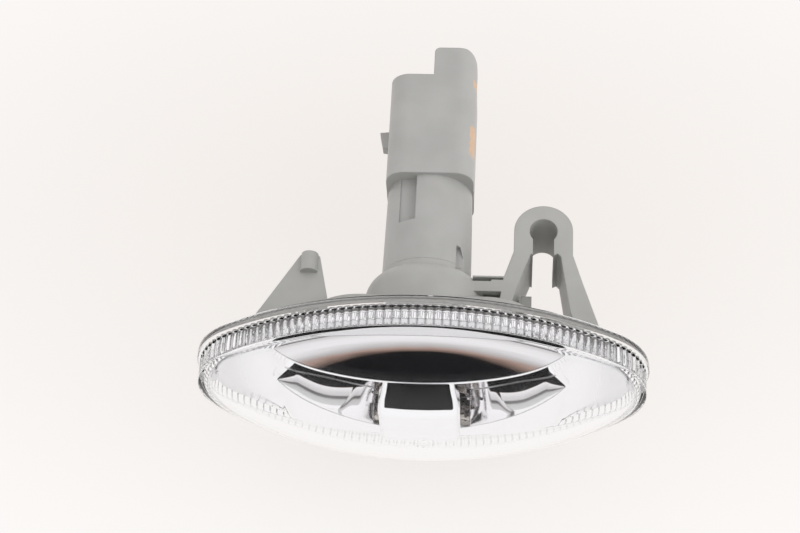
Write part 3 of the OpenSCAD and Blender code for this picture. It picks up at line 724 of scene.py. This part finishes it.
def chamber_floor():
    """Floor of the chamber: from its rectangle to the round hole for the bulb, and down the hole. At each
    angle the rectangle reaches out by the smaller of half width / |cos| and half height / |sin|."""
    turn = np.linspace(0, 2 * np.pi, HOLE_POINTS, endpoint=False)
    c, s = np.cos(turn), np.sin(turn)
    reach = np.minimum((CHAMBER_X + FLOOR_LAP) / np.maximum(np.abs(c), 1e-6),
                       (CHAMBER_Z + FLOOR_LAP) / np.maximum(np.abs(s), 1e-6))
    outline, hole = np.column_stack((c, s)) * reach[:, None], np.column_stack((c, s)) * HOLE_R
    rings = ((outline, CHAMBER_Y), (0.5 * (outline + hole), CHAMBER_Y), (hole * MOUTH_SHARE, CHAMBER_Y),
             (hole, CHAMBER_Y + MOUTH_DEEP), (hole, HOLE_END))
    return np.array([np.column_stack((p[:, 0], np.full(HOLE_POINTS, y), p[:, 1])) for p, y in rings])


def finish_sheet(piece, crease_degrees, wall_mm):
    """Merges the points that fall together, marks creases, and gives the sheet its wall behind it."""
    work = bmesh.new()
    work.from_mesh(piece.data)
    bmesh.ops.remove_doubles(work, verts=work.verts, dist=1e-6)
    bmesh.ops.dissolve_degenerate(work, edges=work.edges, dist=1e-7)
    work.to_mesh(piece.data)
    work.free()
    piece.data.shade_smooth()
    piece.data.set_sharp_from_angle(angle=np.radians(crease_degrees))
    wall = piece.modifiers.new("wall", "SOLIDIFY")
    wall.thickness, wall.offset = wall_mm * MM, -1


def open_floor(piece):
    """Takes the faces at the chamber's floor out of the body, because bulb_chamber is the floor there."""
    work = bmesh.new()
    work.from_mesh(piece.data)
    on_floor = [f for f in work.faces if all(v.co.y > (CHAMBER_Y - 0.01) * MM for v in f.verts)]
    bmesh.ops.delete(work, geom=on_floor, context="FACES")
    work.to_mesh(piece.data)
    work.free()


bright_body = sheet_mesh("bright_body", body_sheet()[::-1], round_columns=False)
open_floor(bright_body)
finish_sheet(bright_body, crease_degrees=25, wall_mm=0.8)
bulb_chamber = sheet_mesh("bulb_chamber", chamber_floor())
finish_sheet(bulb_chamber, crease_degrees=40, wall_mm=0.6)

# %% [markdown]
# A bridge crosses the chamber and hides the bulb. A bent and bevelled box could be the bridge, but its
# width changes and its bends are soft. So a section is carried along a path: a band that climbs from one
# crest to the other, wider in the middle, with well rounded long edges, which show as white lines beside
# its dark slope.

# %% Bridge
# Front of the flat top and where it turns, half width in the middle and at the crests, and round edges
BRIDGE_Y, BRIDGE_TURN_Z, BRIDGE_HALF, BRIDGE_NECK, BRIDGE_EDGE = 11.65, 5.1, 6.6, 5.6, 1.2
# Where the path starts behind a leaf, how deep it lies at the crest, and the softening of its corners
START_Y, START_PAST, CREST_SINK, CORNER_SIZES = 6.2, 1.7, 0.06, (0.8, 1.2, 1.2, 0.8)
# Over how many mm the band widens, the radius across it, and how far its sides reach down
WIDEN_OVER, ACROSS_R, SIDE_DROPS = 6.5, 60, (3.2, 2.2, BRIDGE_EDGE + 0.3)


def softened(points, sizes, steps):
    """A path through the points. Each inner corner gives way to the quadratic curve (1 - t)^2 start +
    2 t (1 - t) corner + t^2 end, whose start and end lie size mm from it."""
    path = [points[0]]
    for before, corner, after, size in zip(points[:-2], points[1:-1], points[2:], sizes):
        start = corner + size * (before - corner) / np.linalg.norm(before - corner)
        end = corner + size * (after - corner) / np.linalg.norm(after - corner)
        t = np.linspace(0, 1, steps)[:, None]
        path.extend((1 - t) ** 2 * start + 2 * t * (1 - t) * corner + t ** 2 * end)
    return np.array(path + [points[-1]])


def bridge_sheet():
    """Rows follow the band's path in Y and Z. Across it the band falls by x^2 / (2 ACROSS_R), its edge by
    edge - sqrt(edge^2 - e^2) as well, where e is how far a point reaches into the rounded edge, and the
    sides then run straight down."""
    half_path = np.array(((START_Y, CREST_Z + START_PAST), (CREST_Y - CREST_SINK, CREST_Z),
                          (BRIDGE_Y, BRIDGE_TURN_Z)))
    corners = np.concatenate((half_path, half_path[::-1] * (1, -1)))
    path = softened(corners, CORNER_SIZES, 9)
    path = np.concatenate([np.linspace(p, q, 4)[:-1] for p, q in zip(path[:-1], path[1:])] + [path[-1:]])
    front, z = path[:, 0], path[:, 1]
    half = BRIDGE_NECK + (BRIDGE_HALF - BRIDGE_NECK) * smoothstep((CREST_Z - np.abs(z)) / WIDEN_OVER)
    flat = np.linspace(-1, 1, 13)
    round_turn = np.linspace(0, np.pi / 2, 9)[1:]
    reach = np.concatenate((np.ones(len(SIDE_DROPS)), np.sin(round_turn[::-1])))
    drop = np.concatenate((SIDE_DROPS, BRIDGE_EDGE * (1 - np.cos(round_turn[::-1]))))
    inner = (half - BRIDGE_EDGE)[:, None]
    left_x, middle_x = -inner - BRIDGE_EDGE * reach, inner * flat
    x = np.concatenate((left_x, middle_x, -left_x[:, ::-1]), axis=1)
    fall = np.concatenate((drop, np.zeros(len(flat)), drop[::-1])) + x ** 2 / (2 * ACROSS_R)
    y = -(front[:, None] - fall)
    return np.stack((x, y, np.broadcast_to(z[:, None], x.shape)), axis=-1)


bridge = sheet_mesh("bridge", bridge_sheet()[::-1], round_columns=False)
finish_sheet(bridge, crease_degrees=35, wall_mm=0.9)
for piece in (bright_body, bulb_chamber, bridge):
    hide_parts("reflector")
    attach(piece, "root")
    print(piece.name, "faces:", len(piece.data.polygons))

# %% [markdown]
# ## Finishes of the frame's own parts
# The reflector is ABS with a vacuum-coated aluminium skin. The housing and the bulb holder are matt
# grey nylon from a spark-eroded mould. These two, the seal, the contacts and the bulb keep their CAD
# meshes and only get their finishes. A CAD edge is a perfect knife, which no moulding has, so the shader
# rounds the light on it, and the mesh stays as it is.

# %% Bright metal
SATIN_RUN = 7 * MM


def rounded_edge(tree, radius_mm):
    """A normal that turns smoothly over sharp edges, as if they had this radius."""
    return add(tree, "ShaderNodeBevel", {"Radius": radius_mm * MM}, samples=6).outputs["Normal"]


def vacuum_aluminium():
    """Aluminium a tenth of a micrometre thick under clear lacquer: a mirror with a slight orange-peel
    waviness. The flat rim behind the reeds and the two ends were eroded in the mould, so they come out
    satin, and the ends do so over a distance of SATIN_RUN."""
    material, tree, shader = start_material("vacuum-coated aluminium", {
        "Base Color": linear("#fbfafb"), "Metallic": 1.0})
    place = object_point(tree)
    parts = add(tree, "ShaderNodeSeparateXYZ", {"Vector": place})
    flat_rim = add(tree, "ShaderNodeMath", {0: parts.outputs["Y"], 1: -RIM_FRONT * MM, 2: 0.1 * MM},
                   operation="COMPARE")
    aside = add(tree, "ShaderNodeMath", {0: parts.outputs["X"]}, operation="ABSOLUTE")
    ends = add(tree, "ShaderNodeMapRange", {"Value": aside.outputs["Value"], "From Min": TIP_X * MM,
                                            "From Max": TIP_X * MM + SATIN_RUN})
    eroded = add(tree, "ShaderNodeMath", {0: flat_rim.outputs["Value"], 1: ends.outputs["Result"]},
                 operation="MAXIMUM")
    satin = add(tree, "ShaderNodeMapRange", {"Value": eroded.outputs["Value"], "To Min": 0.015,
                                             "To Max": 0.35})
    tree.links.new(satin.outputs["Result"], shader.inputs["Roughness"])
    wave = add(tree, "ShaderNodeTexNoise", {"Vector": place, "Scale": 1 / (6 * MM), "Detail": 1.0})
    bump = add(tree, "ShaderNodeBump", {"Height": wave.outputs["Fac"], "Strength": 0.12,
                                        "Distance": 0.02 * MM, "Normal": rounded_edge(tree, 0.25)})
    tree.links.new(bump.outputs["Normal"], shader.inputs["Normal"])
    return material


# %% [markdown]
# One flat grey would look like paper. Moulded nylon has faint clouds where the melt flowed and a fine grain
# from the eroded steel. The shader makes both. It also paints light on the housing's flange under the
# lens's skirt, which the glass leaves in shade, so the grey there turns nearly white. All three come from
# noise at its real scale and from a point's place, because the CAD mesh is never changed. In a Mix node,
# sockets 0, 6 and 7 are the factor and the two colours, and output 2 is the mixed colour.

# %% Grey nylon
# Painted light on the housing's flange under the lens: how far in front of the seating plane it starts, and
# over how much it fades in
FLANGE_LIGHT_Y, FLANGE_LIGHT_FADE = 0.25 * MM, 0.1 * MM
# Size of the clouds and of the grain, and the grain and reach of a crayon mark's ragged edge
CLOUD_MM, GRAIN_MM, RAGGED_GRAIN_MM, RAGGED_MM = 7, 0.35, 1.1, 1.6
CRAYON = "#dcb38c"


def crayon_mark(tree, place, centre_mm, half_mm):
    """0.8 inside a box with ragged edges, and 0 outside: the greatest of |p - centre| / half is under 1,
    where p is shaken by a noise of about a millimetre."""
    shake = add(tree, "ShaderNodeTexNoise", {"Vector": place, "Scale": 1 / (RAGGED_GRAIN_MM * MM),
                                             "Detail": 3.0})
    moved = add(tree, "ShaderNodeVectorMath", {0: shake.outputs["Color"], 1: (RAGGED_MM * MM,) * 3,
                                               2: place}, operation="MULTIPLY_ADD")
    offset = add(tree, "ShaderNodeVectorMath", {
        0: moved.outputs["Vector"], 1: [(v + RAGGED_MM / 2) * MM for v in centre_mm]},
                 operation="SUBTRACT")
    share = add(tree, "ShaderNodeVectorMath", {0: offset.outputs["Vector"], 1: [v * MM for v in half_mm]},
                operation="DIVIDE")
    size = add(tree, "ShaderNodeVectorMath", {0: share.outputs["Vector"]}, operation="ABSOLUTE")
    parts = add(tree, "ShaderNodeSeparateXYZ", {"Vector": size.outputs["Vector"]})
    greater = add(tree, "ShaderNodeMath", {0: parts.outputs["X"], 1: parts.outputs["Y"]},
                  operation="MAXIMUM")
    greatest = add(tree, "ShaderNodeMath", {0: greater.outputs["Value"], 1: parts.outputs["Z"]},
                   operation="MAXIMUM")
    mark = add(tree, "ShaderNodeMapRange", {"Value": greatest.outputs["Value"], "From Min": 0.8,
                                            "From Max": 1.1, "To Min": 0.8, "To Max": 0.0})
    return mark.outputs["Result"]


def moulded_nylon(name, pale, dark, roughness, flange_painted_light=None, marks=()):
    """Matt moulded nylon: two close greys in soft clouds, a fine eroded grain, and a dull shine. More than
    FLANGE_LIGHT_Y in front of the seating plane, under the lens's skirt, painted light turns the grey into
    the colour welded. Marks of orange crayon, given as boxes of a centre and half sides in mm, can lie on
    top."""
    material, tree, shader = start_material(name, {"IOR": 1.53})
    place = object_point(tree)
    cloud = add(tree, "ShaderNodeTexNoise", {"Vector": place, "Scale": 1 / (CLOUD_MM * MM), "Detail": 3.0})
    tone = add(tree, "ShaderNodeValToRGB", {"Fac": cloud.outputs["Fac"]})
    tone.color_ramp.elements[0].position, tone.color_ramp.elements[0].color = 0.35, linear(dark)
    tone.color_ramp.elements[1].position, tone.color_ramp.elements[1].color = 0.65, linear(pale)
    grain = add(tree, "ShaderNodeTexNoise", {"Vector": place, "Scale": 1 / (GRAIN_MM * MM), "Detail": 2.0})
    rough = add(tree, "ShaderNodeMapRange", {"Value": grain.outputs["Fac"], "From Min": 0.3,
                "From Max": 0.7, "To Min": roughness - 0.06, "To Max": roughness + 0.06})
    bump = add(tree, "ShaderNodeBump", {"Height": grain.outputs["Fac"], "Strength": 0.2,
                                        "Distance": 0.02 * MM, "Normal": rounded_edge(tree, 0.3)})
    colour = tone.outputs["Color"]
    if flange_painted_light:
        # Painted light: the flange under the lens's skirt, which the glass leaves in shade, is painted
        # nearly white
        depth = add(tree, "ShaderNodeSeparateXYZ", {"Vector": place})
        behind = add(tree, "ShaderNodeMapRange", {"Value": depth.outputs["Y"],
                                                  "From Min": -FLANGE_LIGHT_Y - FLANGE_LIGHT_FADE, "From Max": -FLANGE_LIGHT_Y})
        painted_light_zone = add(tree, "ShaderNodeMix", {0: behind.outputs["Result"], 6: linear(flange_painted_light), 7: colour},
                   data_type="RGBA")
        colour = painted_light_zone.outputs[2]
    for centre_mm, half_mm in marks:
        mark = crayon_mark(tree, place, centre_mm, half_mm)
        colour = add(tree, "ShaderNodeMix", {0: mark, 6: colour, 7: linear(CRAYON)},
                     data_type="RGBA").outputs[2]
    tree.links.new(colour, shader.inputs["Base Color"])
    tree.links.new(rough.outputs["Result"], shader.inputs["Roughness"])
    tree.links.new(bump.outputs["Normal"], shader.inputs["Normal"])
    return material


# %% [markdown]
# Seal, contacts and bulb lie deep inside and show only as glints. Two close colours in a fine grain are
# enough for them, with the metallic and roughness values of the real material.

# %% Small hidden finishes
def speckled(name, pale, dark, grain_mm, sockets):
    """A finish of two close colours in fine grain, with the shader values given."""
    material, tree, shader = start_material(name, sockets)
    grain = add(tree, "ShaderNodeTexNoise", {"Vector": object_point(tree), "Scale": 1 / (grain_mm * MM),
                                             "Detail": 2.0})
    tone = add(tree, "ShaderNodeValToRGB", {"Fac": grain.outputs["Fac"]})
    tone.color_ramp.elements[0].position, tone.color_ramp.elements[0].color = 0.35, linear(dark)
    tone.color_ramp.elements[1].position, tone.color_ramp.elements[1].color = 0.65, linear(pale)
    tree.links.new(tone.outputs["Color"], shader.inputs["Base Color"])
    return material


# Centre and half sides, in mm, of the two crayon marks on the connector's edge
CRAYON_MARKS = (((7.5, 52.2, 6.2), (0.5, 0.9, 1.6)), ((7.4, 40.2, 6.2), (0.7, 3.2, 1.6)))
finishes = {
    "reflector": vacuum_aluminium(),
    # Two mouldings of one nylon: the housing is a little duller than the holder
    # The housing's near-white colour is painted light on its flange under the lens
    "housing": moulded_nylon("grey nylon of the housing", "#b0b1ae", "#a9aaa7", 0.45, flange_painted_light="#f1eeea"),
    "bulb_holder": moulded_nylon("grey nylon of the bulb holder", "#b2b3b1", "#abacaa", 0.42,
                                 marks=CRAYON_MARKS),
    # Rubber swallows light and gives a broad, weak sheen
    "holder_seal": speckled("black rubber", "#2b2b2c", "#1d1d1e", 0.5, {"Roughness": 0.6, "IOR": 1.52}),
    # A strip rolled and tinned: pale yellow under a blurred reflection
    "contact_left": speckled("tinned brass", "#cdb67a", "#b99f62", 0.6,
                             {"Metallic": 1.0, "Roughness": 0.28}),
    # An amber bulb silvered outside looks like a grey mirror until it is lit
    "bulb_envelope": speckled("silvered amber glass", "#cbc6be", "#c2bbb0", 2.0,
                              {"Metallic": 1.0, "Roughness": 0.12}),
    # Drawn wire: dark and dull for the filament, paler for the leads
    "bulb_filament": speckled("tungsten", "#8f8c88", "#7c7975", 0.2, {"Metallic": 1.0, "Roughness": 0.4}),
    "bulb_lead_left": speckled("nickel wire", "#bdb9b2", "#aba79f", 0.3,
                               {"Metallic": 1.0, "Roughness": 0.3}),
}
finishes["contact_right"] = finishes["contact_left"]
finishes["bulb_lead_right"] = finishes["bulb_lead_left"]
for name, material in finishes.items():
    node = frame["nodes"][name]
    node.data.materials.clear()
    node.data.materials.append(material)
for piece in (bright_body, bulb_chamber, bridge):
    piece.data.materials.append(finishes["reflector"])
print("finishes:", sorted({m.name for m in finishes.values()}))
